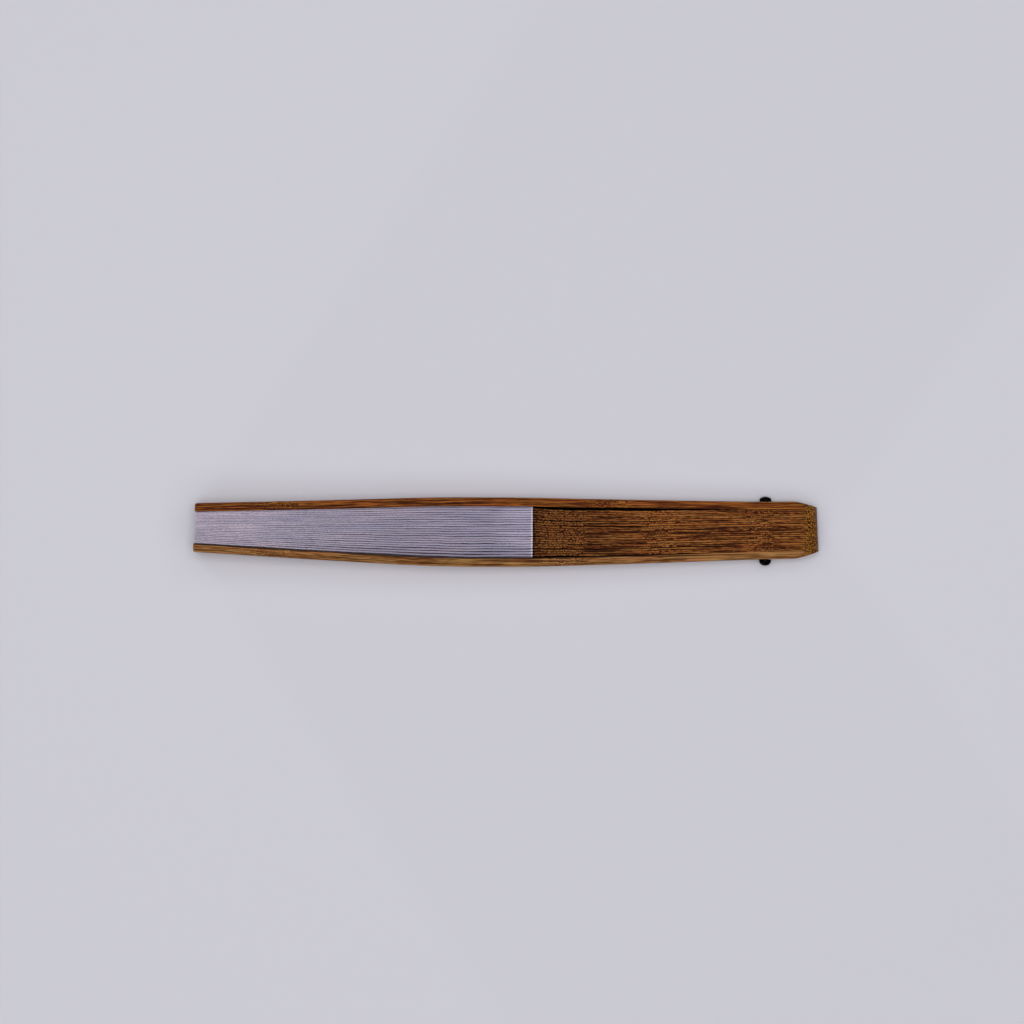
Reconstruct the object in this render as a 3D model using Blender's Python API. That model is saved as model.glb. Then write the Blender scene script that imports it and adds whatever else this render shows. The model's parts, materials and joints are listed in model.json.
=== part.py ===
"""A closed folding fan standing on its long edge.

Units are metres and +Z is up. The fan lies along X, with its head and its
rivet towards +X and its leaf towards -X. Y is the rivet's axis: the front
guard is at -Y, the back guard at +Y, and the ribs and the pleated leaf lie
between them. The origin is on the ground under the middle of the fan.

Every piece is drawn in the fan's own frame, whose origin is on the rivet's
axis, where x = -radius on the leaf's side of the rivet and x > 0 in the head.
An empty at the rivet carries all the pieces and leans the fan a little, so
that the guards' tapered edges lie flat on the ground.
"""

import math

import bmesh
import bpy

# Counts
RIB_COUNT = 20

# Lengths along the fan, measured from the rivet's axis
GUARD_RADIUS = 0.2061
HEAD_LENGTH = 0.0189
LEAF_INNER_RADIUS = 0.0842
LEAF_SETBACK = 0.0004
SLIP_SETBACK = 0.0040
NECK_LENGTH = 0.0014
CHAMFER_LENGTH = 0.0085
# Both ends of the closed fan are cut askew, longer towards the front guard
END_SLANT = 0.05

# Widths, seen with the fan on its side
HEAD_WIDTH = 0.0090
TIP_WIDTH = 0.0165
RIB_INSET = 0.0004
NECK_WIDTH = 0.0056
SLIP_INNER_WIDTH = 0.0044
SLIP_TIP_WIDTH = 0.0024
PANEL_ANGLE = math.radians(4.2)
HEAD_END_FLAT = 0.0010
TIP_CORNER = 0.0010

# Thicknesses and running gaps, measured along the rivet
GUARD_THICKNESS = 0.0032
GUARD_TIP_THICKNESS = 0.0031
GUARD_HEAD_THICKNESS = 0.0027
GUARD_END_THICKNESS = 0.0003
GUARD_EDGE_ROUND = 0.0004
RIB_THICKNESS = 0.00070
RIB_GAP = 0.000062
SLIP_INNER_THICKNESS = 0.00038
SLIP_TIP_THICKNESS = 0.00017
PAPER_THICKNESS = 0.00010
PAPER_GAP = 0.00006
FOLD_GAP_INNER = 0.000193
FOLD_GAP_TIP = 0.000056

# The closed fan bows sideways, and the free lengths of its ribs lie nearer to
# the front guard
BOW = 0.0011
RIB_SAG = 0.0002
CHAMFER_POWER = 1.3

# The stack's sides are parallel in the head, spread evenly up to the leaf, are
# parallel along its first part and close in evenly to the tips. They bend
# between these radii
HEAD_BEND = (-0.0080, 0.0080)
LEAF_BEND = (0.0790, 0.0935)
TIP_BEND = (0.1050, 0.1330)
SPREAD_LENGTH = (sum(LEAF_BEND) - sum(HEAD_BEND)) / 2
CLOSING_LENGTH = GUARD_RADIUS - sum(TIP_BEND) / 2

# Rivet
RIVET_RADIUS = 0.0010
RIVET_HOLE_GAP = 0.00010
RIVET_HEAD_RADIUS = 0.00215
PIN_HEAD_HEIGHT = 0.0022
CAP_HEIGHT = 0.0017
RIVET_HEAD_RIM = 0.0006
RIVET_HEAD_GAP = 0.00010
CAP_SOCKET_DEPTH = 0.0010
CAP_SOCKET_GAP = 0.00005

# How finely the curves are drawn
STATION_STEP = 0.0150
CORNER_STEPS = 4
EDGE_STEPS = 2
ROUND_SIDES = 24
HOLE_SIDES = 16
DOME_STEPS = 5

# Pitch of the ribs along the rivet's axis: in the head, where they nearly
# touch, in the leaf's first part, where the stack is fullest, and at the tips
# of the guards. In the leaf each rib has a layer of paper on either side, and
# then comes the fold's gap
FOLD_LAYERS = 2 * (PAPER_THICKNESS + PAPER_GAP)
HEAD_PITCH = RIB_THICKNESS + RIB_GAP
INNER_PITCH = SLIP_INNER_THICKNESS + FOLD_LAYERS + FOLD_GAP_INNER
TIP_PITCH = SLIP_TIP_THICKNESS + FOLD_LAYERS + FOLD_GAP_TIP

# Half of the room between the guards at the same three places. The leaf's end
# panels lie on the guards, with one more panel before the back guard
END_LAYERS = 3 * PAPER_THICKNESS + 2 * PAPER_GAP
HEAD_HALF = (RIB_COUNT * HEAD_PITCH + RIB_GAP) / 2
INNER_HALF = (RIB_COUNT * INNER_PITCH + END_LAYERS + 2 * FOLD_GAP_INNER) / 2
TIP_HALF = (RIB_COUNT * TIP_PITCH + END_LAYERS + 2 * FOLD_GAP_TIP) / 2

# That panel keeps the ribs nearer to the front guard than to the back one
INNER_SHIFT = (PAPER_THICKNESS + FOLD_GAP_INNER) / 2
TIP_SHIFT = (PAPER_THICKNESS + FOLD_GAP_TIP) / 2

# Where the chamfer on the guards' outer faces starts
CHAMFER_RADIUS = CHAMFER_LENGTH - HEAD_LENGTH

# The head is rounded off above and below, down to a small flat at its end
HEAD_CORNER = (HEAD_WIDTH - HEAD_END_FLAT) / 2

EDGE_SLOPE = (TIP_WIDTH - HEAD_WIDTH) / 2 / (GUARD_RADIUS + HEAD_LENGTH)
LEAN = math.atan(EDGE_SLOPE)


def clear_scene():
    for obj in list(bpy.data.objects):
        bpy.data.objects.remove(obj, do_unlink=True)


def make_material(name, colour, roughness):
    material = bpy.data.materials.new(name)
    material.use_nodes = True
    shader = material.node_tree.nodes["Principled BSDF"]
    shader.inputs["Base Color"].default_value = (*colour, 1.0)
    shader.inputs["Roughness"].default_value = roughness
    shader.inputs["Metallic"].default_value = 0.0
    material.diffuse_color = (*colour, 1.0)
    return material


def mix(a, b, share):
    return a + (b - a) * share


def smooth(share):
    share = min(max(share, 0.0), 1.0)
    return share * share * (3.0 - 2.0 * share)


def past_bend(radius, bend):
    """How far a radius lies past the middle of a bend: 0 before the bend, and eased inside it."""
    start, end = bend
    if radius <= start:
        return 0.0
    if radius >= end:
        return radius - (start + end) / 2
    return (radius - start) ** 2 / (2 * (end - start))


def along(radius, head, inner, tip):
    """A size at a radius, from its values in the head, in the leaf's first part and at the tips."""
    spread = (past_bend(radius, HEAD_BEND) - past_bend(radius, LEAF_BEND)) / SPREAD_LENGTH
    closing = past_bend(radius, TIP_BEND) / CLOSING_LENGTH
    return head + (inner - head) * spread + (tip - inner) * closing


def bow(radius):
    """The sideways shift of the whole stack at a radius."""
    return -BOW * math.sin(math.pi * radius / GUARD_RADIUS)


def guard_inner_face(radius):
    """Distance of the guards' inner faces from the middle of the stack."""
    return along(radius, HEAD_HALF, INNER_HALF, TIP_HALF)


def guard_thickness(radius):
    """The guards thin a little at the rivet, and slope away to a thin edge at the end of the head."""
    body = along(radius, GUARD_HEAD_THICKNESS, GUARD_THICKNESS, GUARD_TIP_THICKNESS)
    past = (CHAMFER_RADIUS - radius) / CHAMFER_LENGTH
    return mix(body, GUARD_END_THICKNESS, min(max(past, 0.0), 1.0) ** CHAMFER_POWER)


def rib_middle(number, radius):
    """Where the middle of a rib lies across the stack. Ribs are numbered from the front guard."""
    pitch = along(radius, HEAD_PITCH, INNER_PITCH, TIP_PITCH)
    share = smooth(radius / LEAF_INNER_RADIUS)
    sag = RIB_SAG * share**2 * (1.0 - share) * 27 / 4
    shift = along(radius, 0.0, INNER_SHIFT, TIP_SHIFT) + sag
    return (number - (RIB_COUNT + 1) / 2) * pitch - shift + bow(radius)


def guard_edge(radius):
    """Half of the guards' width."""
    return HEAD_WIDTH / 2 + EDGE_SLOPE * (radius + HEAD_LENGTH)


def corner_cut(distance, corner):
    """How much a rounded corner takes off the edge at a distance from the end."""
    if distance >= corner:
        return 0.0
    return corner - math.sqrt(max(corner**2 - (corner - distance) ** 2, 0.0))


def corner_distances(corner):
    """Distances from the end, spaced evenly round a quarter circle."""
    turns = [0.5 * math.pi * step / CORNER_STEPS for step in range(CORNER_STEPS + 1)]
    return [corner * (1.0 - math.cos(turn)) for turn in turns]


def head_end(side):
    """Radius of the head's end, which is negative, for a stick at a place across the stack."""
    return -(HEAD_LENGTH - END_SLANT * side)


def tip_radius(side):
    return GUARD_RADIUS - END_SLANT * side


def even_steps(start, end):
    count = max(1, math.ceil((end - start) / STATION_STEP))
    return [mix(start, end, step / count) for step in range(count)]


def stations(start, end, extra=()):
    """Radii at which a stick or the leaf has a section. All pieces share the same ones."""
    shared = [HEAD_BEND[0], *even_steps(0.0, LEAF_INNER_RADIUS)]
    shared += even_steps(LEAF_INNER_RADIUS, GUARD_RADIUS - 2 * TIP_CORNER)
    shared += [GUARD_RADIUS - 2 * TIP_CORNER]
    inside = [radius for radius in shared if start < radius < end]
    return sorted({start, end, *inside, *extra})


def finish_object(name, mesh_data, material, parent):
    mesh = bpy.data.meshes.new(name)
    bmesh.ops.recalc_face_normals(mesh_data, faces=mesh_data.faces)
    mesh_data.to_mesh(mesh)
    mesh_data.free()
    mesh.materials.append(material)
    obj = bpy.data.objects.new(name, mesh)
    obj.parent = parent
    bpy.context.scene.collection.objects.link(obj)
    return obj


def lofted(name, sections, material, parent):
    """A closed stick through rings of points, with both ends filled."""
    mesh_data = bmesh.new()
    rings = [[mesh_data.verts.new(point) for point in section] for section in sections]
    for ring, following in zip(rings, rings[1:]):
        for index, point in enumerate(ring):
            mesh_data.faces.new((ring[index - 1], point, following[index], following[index - 1]))
    mesh_data.faces.new(rings[0])
    mesh_data.faces.new(rings[-1])
    return finish_object(name, mesh_data, material, parent)


def square_section(radius, low, high, half_width):
    """The outline of a stick at one radius, between two places across the stack."""
    corners = ((low, -half_width), (high, -half_width), (high, half_width), (low, half_width))
    return [(-radius, across, height) for across, height in corners]


def rounded_section(radius, low, high, half_width, rounding):
    """The same outline with its corners rounded."""
    inner_low, inner_high = low + rounding, high - rounding
    inner_height = half_width - rounding
    centres = [
        (inner_high, inner_height),
        (inner_low, inner_height),
        (inner_low, -inner_height),
        (inner_high, -inner_height),
    ]
    points = []
    for quarter, (across, height) in enumerate(centres):
        for step in range(EDGE_STEPS + 1):
            turn = 0.5 * math.pi * (quarter + step / EDGE_STEPS)
            corner = (across + rounding * math.cos(turn), height + rounding * math.sin(turn))
            points.append((-radius, *corner))
    return points


def turned(name, profile, material, parent, sides=ROUND_SIDES):
    """A round piece about the rivet's axis, from a profile of (radius, place across the stack)."""
    mesh_data = bmesh.new()
    points = [mesh_data.verts.new((radius, across, 0.0)) for radius, across in profile]
    lines = [mesh_data.edges.new(pair) for pair in zip(points, points[1:])]
    bmesh.ops.spin(
        mesh_data,
        geom=points + lines,
        cent=(0.0, 0.0, 0.0),
        axis=(0.0, 1.0, 0.0),
        angle=2 * math.pi,
        steps=sides,
        use_merge=True,
    )
    bmesh.ops.remove_doubles(mesh_data, verts=mesh_data.verts, dist=1e-7)
    return finish_object(name, mesh_data, material, parent)


def add_rivet_hole(obj, cutter):
    hole = obj.modifiers.new("rivet_hole", "BOOLEAN")
    hole.operation = "DIFFERENCE"
    hole.solver = "EXACT"
    hole.object = cutter


def make_hole_cutter(material, parent):
    reach = 2 * (HEAD_HALF + GUARD_THICKNESS)
    radius = RIVET_RADIUS + RIVET_HOLE_GAP
    profile = [(0.0, -reach), (radius, -reach), (radius, reach), (0.0, reach)]
    cutter = turned("rivet_hole_cutter", profile, material, parent, HOLE_SIDES)
    cutter.hide_render = True
    cutter.display_type = "WIRE"
    return cutter


def guard_sections(side):
    """Sections of one guard. side is -1 for the front guard and +1 for the back one."""
    start = head_end(side * HEAD_HALF)
    end = tip_radius(side * TIP_HALF)
    head_stations = [start + distance for distance in corner_distances(HEAD_CORNER)]
    tip_stations = [end - distance for distance in corner_distances(TIP_CORNER)]
    chamfer_stations = [CHAMFER_RADIUS, (CHAMFER_RADIUS + start + HEAD_CORNER) / 2]
    result = []
    for radius in stations(start, end, [*head_stations, *chamfer_stations, *tip_stations]):
        inner = guard_inner_face(radius)
        thickness = guard_thickness(radius)
        low, high = sorted(side * across + bow(radius) for across in (inner, inner + thickness))
        cut = corner_cut(radius - start, HEAD_CORNER) + corner_cut(end - radius, TIP_CORNER)
        rounding = min(GUARD_EDGE_ROUND, thickness / 3)
        result.append(rounded_section(radius, low, high, guard_edge(radius) - cut, rounding))
    return result


def make_guard(name, side, material, parent, cutter):
    guard = lofted(name, guard_sections(side), material, parent)
    shade_round(guard)
    add_rivet_hole(guard, cutter)


def rib_half_width(radius):
    """The ribs match the guards in the head, narrow to the neck, and run on as slips in the leaf."""
    neck_radius = LEAF_INNER_RADIUS - NECK_LENGTH
    if radius <= neck_radius:
        head = guard_edge(min(radius, 0.0)) - RIB_INSET
        return mix(head, NECK_WIDTH / 2, max(radius, 0.0) / neck_radius)
    share = (radius - LEAF_INNER_RADIUS) / (GUARD_RADIUS - LEAF_INNER_RADIUS)
    return mix(SLIP_INNER_WIDTH, SLIP_TIP_WIDTH, max(share, 0.0)) / 2


def slip_half_thickness(radius):
    leaf_radius = max(radius, LEAF_INNER_RADIUS)
    return along(leaf_radius, SLIP_INNER_THICKNESS, SLIP_INNER_THICKNESS, SLIP_TIP_THICKNESS) / 2


def make_rib(number, material, parent, cutter):
    start = head_end(rib_middle(number, 0.0))
    end = GUARD_RADIUS - LEAF_SETBACK - SLIP_SETBACK
    neck = LEAF_INNER_RADIUS - NECK_LENGTH
    slip = LEAF_INNER_RADIUS - PAPER_GAP
    corner = HEAD_CORNER - RIB_INSET
    corners = [start + distance for distance in corner_distances(corner)]
    sections = []
    for radius in stations(start, end, [*corners, neck, slip]):
        middle = rib_middle(number, radius)
        half = RIB_THICKNESS / 2 if radius <= neck else slip_half_thickness(radius)
        width = rib_half_width(radius) - corner_cut(radius - start, corner)
        sections.append(square_section(radius, middle - half, middle + half, width))
    rib = lofted(f"rib_{number:02d}", sections, material, parent)
    add_rivet_hole(rib, cutter)


def panel_places(radius):
    """Where the leaf's panels lie across the stack, from the front guard to the back one.

    The first panel lies on the front guard and comes down from its free edge.
    Then each rib has one panel that climbs before it and one that comes down
    behind it, and the back guard has such a pair in front of it.
    """
    beside_rib = slip_half_thickness(radius) + PAPER_GAP + PAPER_THICKNESS / 2
    beside_guard = guard_inner_face(radius) - PAPER_GAP - PAPER_THICKNESS / 2
    panel_pitch = PAPER_THICKNESS + along(radius, FOLD_GAP_INNER, FOLD_GAP_INNER, FOLD_GAP_TIP)
    places = [bow(radius) - beside_guard]
    for number in range(1, RIB_COUNT + 1):
        middle = rib_middle(number, radius)
        places += [middle - beside_rib, middle + beside_rib]
    places += [bow(radius) + beside_guard - panel_pitch, bow(radius) + beside_guard]
    return places


def sheet_outline(radius):
    """The upper and the lower face of the pleated sheet at one radius, as lists of points."""
    half = PAPER_THICKNESS / 2
    crest = radius * math.tan(PANEL_ANGLE / 2)
    places = panel_places(radius)
    last = len(places) - 1
    upper, lower = [], []
    for index, place in enumerate(places):
        comes_down = index % 2 == 0
        side = half if comes_down else -half
        heights = (crest, -crest) if comes_down else (-crest, crest)
        for height in heights:
            free_edge = (index == 0 and height > 0) or (index == last and height < 0)
            lift = 0.0 if free_edge else half
            upper.append((place + side, height + lift))
            lower.append((place - side, height - lift))
    return upper, lower


def make_leaf(material, parent):
    """The pleated sheet, one closed body with a section at each station."""
    end = GUARD_RADIUS - LEAF_SETBACK
    mesh_data = bmesh.new()
    rings = []
    for radius in stations(LEAF_INNER_RADIUS, end):
        slant = END_SLANT if radius == end else 0.0
        rings.append([
            [mesh_data.verts.new((slant * across - radius, across, height)) for across, height in face]
            for face in sheet_outline(radius)
        ])
    for ring, following in zip(rings, rings[1:]):
        for face, next_face in zip(ring, following):
            for a, b, c, d in zip(face, face[1:], next_face[1:], next_face):
                mesh_data.faces.new((a, b, c, d))
        for edge in (0, -1):
            mesh_data.faces.new((ring[0][edge], ring[1][edge], following[1][edge], following[0][edge]))
    for upper, lower in (rings[0], rings[-1]):
        for a, b, c, d in zip(upper, upper[1:], lower[1:], lower):
            mesh_data.faces.new((a, b, c, d))
    finish_object("leaf", mesh_data, material, parent)


def dome_profile(base, outward, height):
    """A rivet head's outline from its crown to the rim of its flat base."""
    dome_height = height - RIVET_HEAD_RIM
    profile = []
    for step in range(DOME_STEPS + 1):
        turn = 0.5 * math.pi * step / DOME_STEPS
        rise = RIVET_HEAD_RIM + dome_height * math.cos(turn)
        profile.append((RIVET_HEAD_RADIUS * math.sin(turn), base + outward * rise))
    profile.append((RIVET_HEAD_RADIUS, base))
    return profile


def shade_round(obj):
    obj.data.shade_smooth()
    obj.data.set_sharp_from_angle(angle=math.radians(40))


def rivet_head_base():
    """Distance from the middle of the stack to the flat side of a rivet head, which clears the guard's slope."""
    return guard_inner_face(RIVET_HEAD_RADIUS) + guard_thickness(RIVET_HEAD_RADIUS) + RIVET_HEAD_GAP


def make_rivet(material, parent):
    """The pin has one moulded head at the front, and its back end sits in the socket of the cap."""
    base = rivet_head_base()
    pin_end = base + CAP_SOCKET_DEPTH - CAP_SOCKET_GAP
    pin_profile = dome_profile(-base, -1, PIN_HEAD_HEIGHT)
    pin_profile += [(RIVET_RADIUS, -base), (RIVET_RADIUS, pin_end), (0.0, pin_end)]
    shade_round(turned("pivot_pin", pin_profile, material, parent))

    socket = RIVET_RADIUS + CAP_SOCKET_GAP
    floor = base + CAP_SOCKET_DEPTH
    cap_profile = dome_profile(base, 1, CAP_HEIGHT) + [(socket, base), (socket, floor), (0.0, floor)]
    shade_round(turned("pin_cap", cap_profile, material, parent))


def world_extents():
    """Where the fan reaches along X and across Y, from the rivet, once it leans."""
    base = rivet_head_base()
    along_x, across_y = [], [-base - PIN_HEAD_HEIGHT, base + CAP_HEIGHT]
    for side in (-1, 1):
        for points in guard_sections(side):
            along_x += [x * math.cos(LEAN) + z * math.sin(LEAN) for x, _, z in points]
            across_y += [y for _, y, _ in points]
    return along_x, across_y


def make_fan_frame():
    """The empty on the rivet's axis that carries the fan, placed so that the origin is under its middle."""
    along_x, across_y = world_extents()
    frame = bpy.data.objects.new("fan_frame", None)
    frame.location = (
        -(min(along_x) + max(along_x)) / 2,
        -(min(across_y) + max(across_y)) / 2,
        guard_edge(0.0) * math.cos(LEAN),
    )
    frame.rotation_euler = (0.0, LEAN, 0.0)
    bpy.context.scene.collection.objects.link(frame)
    return frame


def build():
    clear_scene()
    front_bamboo = make_material("front_guard_bamboo", (0.21, 0.095, 0.038), 0.42)
    back_bamboo = make_material("back_guard_bamboo", (0.12, 0.040, 0.013), 0.42)
    rib_bamboo = make_material("rib_bamboo", (0.12, 0.042, 0.014), 0.5)
    paper = make_material("leaf_paper", (0.27, 0.235, 0.31), 0.85)
    black_resin = make_material("rivet_resin", (0.004, 0.004, 0.005), 0.3)

    frame = make_fan_frame()
    cutter = make_hole_cutter(black_resin, frame)
    make_guard("front_guard", -1, front_bamboo, frame, cutter)
    make_guard("back_guard", 1, back_bamboo, frame, cutter)
    for number in range(1, RIB_COUNT + 1):
        make_rib(number, rib_bamboo, frame, cutter)
    make_leaf(paper, frame)
    make_rivet(black_resin, frame)


build()
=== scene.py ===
# The looks of a folding fan: stained bamboo guards and ribs, a pleated paper
# leaf and a black rivet. Units are metres, or millimetres inside the materials,
# and +Z is up. Every piece is drawn in the fan's own frame: radius is the
# distance from the rivet's axis towards the tips, and negative in the head,
# across runs along the rivet from the front guard (-Y) to the back one (+Y),
# and height is upright to both.

import functools
import itertools
import json
import math
import random

import bmesh
import bpy
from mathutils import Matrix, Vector


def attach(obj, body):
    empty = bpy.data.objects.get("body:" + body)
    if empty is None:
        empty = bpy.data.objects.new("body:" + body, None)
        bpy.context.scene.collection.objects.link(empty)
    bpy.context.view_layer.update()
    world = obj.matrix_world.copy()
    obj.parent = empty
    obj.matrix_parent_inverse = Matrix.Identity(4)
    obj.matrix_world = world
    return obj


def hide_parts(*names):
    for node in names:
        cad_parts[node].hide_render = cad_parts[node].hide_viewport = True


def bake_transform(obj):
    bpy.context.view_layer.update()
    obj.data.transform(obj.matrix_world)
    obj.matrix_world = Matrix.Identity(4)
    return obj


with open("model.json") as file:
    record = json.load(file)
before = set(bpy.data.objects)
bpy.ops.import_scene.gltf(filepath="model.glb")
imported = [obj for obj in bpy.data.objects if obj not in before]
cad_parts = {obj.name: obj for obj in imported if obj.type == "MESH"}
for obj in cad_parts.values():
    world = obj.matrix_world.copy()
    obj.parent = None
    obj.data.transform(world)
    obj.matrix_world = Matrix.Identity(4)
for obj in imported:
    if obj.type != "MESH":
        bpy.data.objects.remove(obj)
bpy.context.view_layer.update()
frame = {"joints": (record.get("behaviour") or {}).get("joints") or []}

RIB_COUNT = 20

# Lengths along the fan, measured from the rivet's axis, as in the solids
GUARD_RADIUS = 0.2061
HEAD_LENGTH = 0.0189
LEAF_INNER_RADIUS = 0.0842
LEAF_SETBACK = 0.0004
SLIP_SETBACK = 0.0040
NECK_LENGTH = 0.0014
CHAMFER_LENGTH = 0.0085
END_SLANT = 0.05

# Widths, seen with the fan on its side
HEAD_WIDTH = 0.0090
TIP_WIDTH = 0.0165
RIB_INSET = 0.0004
NECK_WIDTH = 0.0056
SLIP_INNER_WIDTH = 0.0044
SLIP_TIP_WIDTH = 0.0024
PANEL_ANGLE = math.radians(4.2)
HEAD_END_FLAT = 0.0010
TIP_CORNER = 0.0010

# Thicknesses and running gaps, measured along the rivet
GUARD_THICKNESS = 0.0032
GUARD_TIP_THICKNESS = 0.0031
GUARD_HEAD_THICKNESS = 0.0027
GUARD_END_THICKNESS = 0.0003
RIB_THICKNESS = 0.00070
RIB_GAP = 0.000062
SLIP_INNER_THICKNESS = 0.00038
SLIP_TIP_THICKNESS = 0.00017
PAPER_THICKNESS = 0.00010
PAPER_GAP = 0.00006
FOLD_GAP_INNER = 0.000193
FOLD_GAP_TIP = 0.000056

# The closed fan bows sideways, and its sides bend between these radii
BOW = 0.0011
RIB_SAG = 0.0002
HEAD_BEND = (-0.0080, 0.0080)
LEAF_BEND = (0.0790, 0.0935)
TIP_BEND = (0.1050, 0.1330)
SPREAD_LENGTH = (sum(LEAF_BEND) - sum(HEAD_BEND)) / 2
CLOSING_LENGTH = GUARD_RADIUS - sum(TIP_BEND) / 2

# Rivet
RIVET_RADIUS = 0.0010
RIVET_HOLE_GAP = 0.00010
RIVET_HEAD_RADIUS = 0.00215
PIN_HEAD_HEIGHT = 0.00228
CAP_HEIGHT = 0.00178
RIVET_HEAD_RIM = 0.0006
RIVET_HEAD_GAP = 0.00002
CAP_SOCKET_DEPTH = 0.0010
CAP_SOCKET_GAP = 0.00005

# Fine shape that the solids leave out
CHAMFER_POWER = 1.3
GUARD_INNER_ROUND = 0.00030
GUARD_OUTER_ROUND = 0.00065
GUARD_CROWN = 0.00015
GUARD_TIP_BEVEL = 0.00060
END_ROUND = 0.00018
NODE_RIDGE = 0.00006
NODE_GROOVE = 0.00005
NODE_RIDGE_WIDTH = 0.0007
NODE_GROOVE_PLACE = 0.0012
RIB_ROUND = 0.00014
RIB_ROUND_SHARE = 0.7
RIB_WANDER = 0.00012
RIB_WANDER_START = 0.006
CREST_ROUND_INNER = 0.00006
CREST_ROUND_TIP = 0.000015
CREST_WANDER = 0.00012
CREST_PLAY = 0.12
FREE_EDGE_DROP = 0.0020
RIVET_RIM_ROUND = 0.00008

# The slow waves along a piece: their lengths, and how much each counts
WANDER_WAVES = (0.140, 0.061, 0.027)
WAVE_SHARES = (0.5, 0.3, 0.2)

# The sticks crowd in places and leave wider gaps in others. A gap's number is that of the rib
# behind it, and its value is its width in even gaps. The other gaps share the room that is left.
FREE_GAPS = {1: 2.4, 4: 2.0, 6: 1.4, 14: 2.0, 16: 1.5, 21: 3.8}
LEAF_GAPS = {1: 1.8, 2: 1.5, 3: 1.4, 4: 1.4, 6: 1.3, 9: 1.2, 15: 1.1}
GAP_WAVER = 0.50
GAP_WAVES = (0.050, 0.022, 0.009)

# The crowding starts at the rivet and is full at CROWD_START. It turns into that of the leaf over
# CROWD_CHANGE, and starts to CROWD_LEAD times that length before it.
CROWD_START = 0.040
CROWD_CHANGE = 0.006
CROWD_LEAD = 1.2

# How far apart in the grain neighbouring pieces are cut
GRAIN_SPREAD = 0.5

# How finely curves are drawn
GUARD_STEP = 0.0020
NODE_STEP = 0.0003
NODE_STEPS = range(-6, 9)
RIB_STEP = 0.0030
LEAF_STEP = 0.0025
SHORTEST_STEP = 2e-5
CORNER_STEPS = 8
ARC_STEPS = 4
RIB_ARC_STEPS = 2
FACE_STEPS = 4
RIVET_SIDES = 64
HOLE_SIDES = 32
DOME_STEPS = 12

# Edges that bend more than this, in degrees, are drawn sharp
STICK_SHARPNESS = 35
LEAF_SHARPNESS = 50
RIVET_SHARPNESS = 40

# Where the bamboo's nodes cross the guards
FRONT_GUARD_NODES = (0.0720, 0.1790)
BACK_GUARD_NODES = (0.0560, 0.1760)

# Pitch of the ribs in the head, in the leaf's first part and at the tips
FOLD_LAYERS = 2 * (PAPER_THICKNESS + PAPER_GAP)
HEAD_PITCH = RIB_THICKNESS + RIB_GAP
INNER_PITCH = SLIP_INNER_THICKNESS + FOLD_LAYERS + FOLD_GAP_INNER
TIP_PITCH = SLIP_TIP_THICKNESS + FOLD_LAYERS + FOLD_GAP_TIP

# Half of the room between the guards at the same three places
END_LAYERS = 3 * PAPER_THICKNESS + 2 * PAPER_GAP
HEAD_HALF = (RIB_COUNT * HEAD_PITCH + RIB_GAP) / 2
INNER_HALF = (RIB_COUNT * INNER_PITCH + END_LAYERS + 2 * FOLD_GAP_INNER) / 2
TIP_HALF = (RIB_COUNT * TIP_PITCH + END_LAYERS + 2 * FOLD_GAP_TIP) / 2
INNER_SHIFT = (PAPER_THICKNESS + FOLD_GAP_INNER) / 2
TIP_SHIFT = (PAPER_THICKNESS + FOLD_GAP_TIP) / 2

CHAMFER_RADIUS = CHAMFER_LENGTH - HEAD_LENGTH
HEAD_CORNER = (HEAD_WIDTH - HEAD_END_FLAT) / 2
EDGE_SLOPE = (TIP_WIDTH - HEAD_WIDTH) / 2 / (GUARD_RADIUS + HEAD_LENGTH)
LEAN = math.atan(EDGE_SLOPE)
PIVOT = Vector(frame["joints"][0]["pos_m"])

# Bodies from the front guard to the back one, in the order of the joints
BODIES = ["front_guard", *(f"rib_{number:02d}" for number in range(1, RIB_COUNT + 1)), "back_guard"]


# Sizes along the fan

def mix(a, b, share):
    return a + (b - a) * share


def clamp(share):
    return min(max(share, 0.0), 1.0)


def smooth(share):
    share = clamp(share)
    return share * share * (3.0 - 2.0 * share)


def leaf_share(radius):
    """0 at the leaf's inner edge and 1 at the tips of the guards."""
    return max(radius - LEAF_INNER_RADIUS, 0.0) / (GUARD_RADIUS - LEAF_INNER_RADIUS)


def past_bend(radius, bend):
    """How far a radius lies past the middle of a bend: 0 before the bend, and eased inside it."""
    start, end = bend
    if radius <= start:
        return 0.0
    if radius >= end:
        return radius - (start + end) / 2
    return (radius - start) ** 2 / (2 * (end - start))


def along(radius, head, inner, tip):
    """A size at a radius, from its values in the head, in the leaf's first part and at the tips."""
    spread = (past_bend(radius, HEAD_BEND) - past_bend(radius, LEAF_BEND)) / SPREAD_LENGTH
    closing = past_bend(radius, TIP_BEND) / CLOSING_LENGTH
    return head + (inner - head) * spread + (tip - inner) * closing


def bow(radius):
    """The sideways shift of the whole stack at a radius."""
    return -BOW * math.sin(math.pi * radius / GUARD_RADIUS)


def guard_inner_face(radius):
    """Distance of the guards' inner faces from the middle of the stack."""
    return along(radius, HEAD_HALF, INNER_HALF, TIP_HALF)


def guard_thickness(radius):
    body = along(radius, GUARD_HEAD_THICKNESS, GUARD_THICKNESS, GUARD_TIP_THICKNESS)
    past = clamp((CHAMFER_RADIUS - radius) / CHAMFER_LENGTH)
    return mix(body, GUARD_END_THICKNESS, past**CHAMFER_POWER)


def guard_edge(radius):
    """Half of the guards' width."""
    return HEAD_WIDTH / 2 + EDGE_SLOPE * (radius + HEAD_LENGTH)


def rib_pitch(radius):
    return along(radius, HEAD_PITCH, INNER_PITCH, TIP_PITCH)


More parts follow.
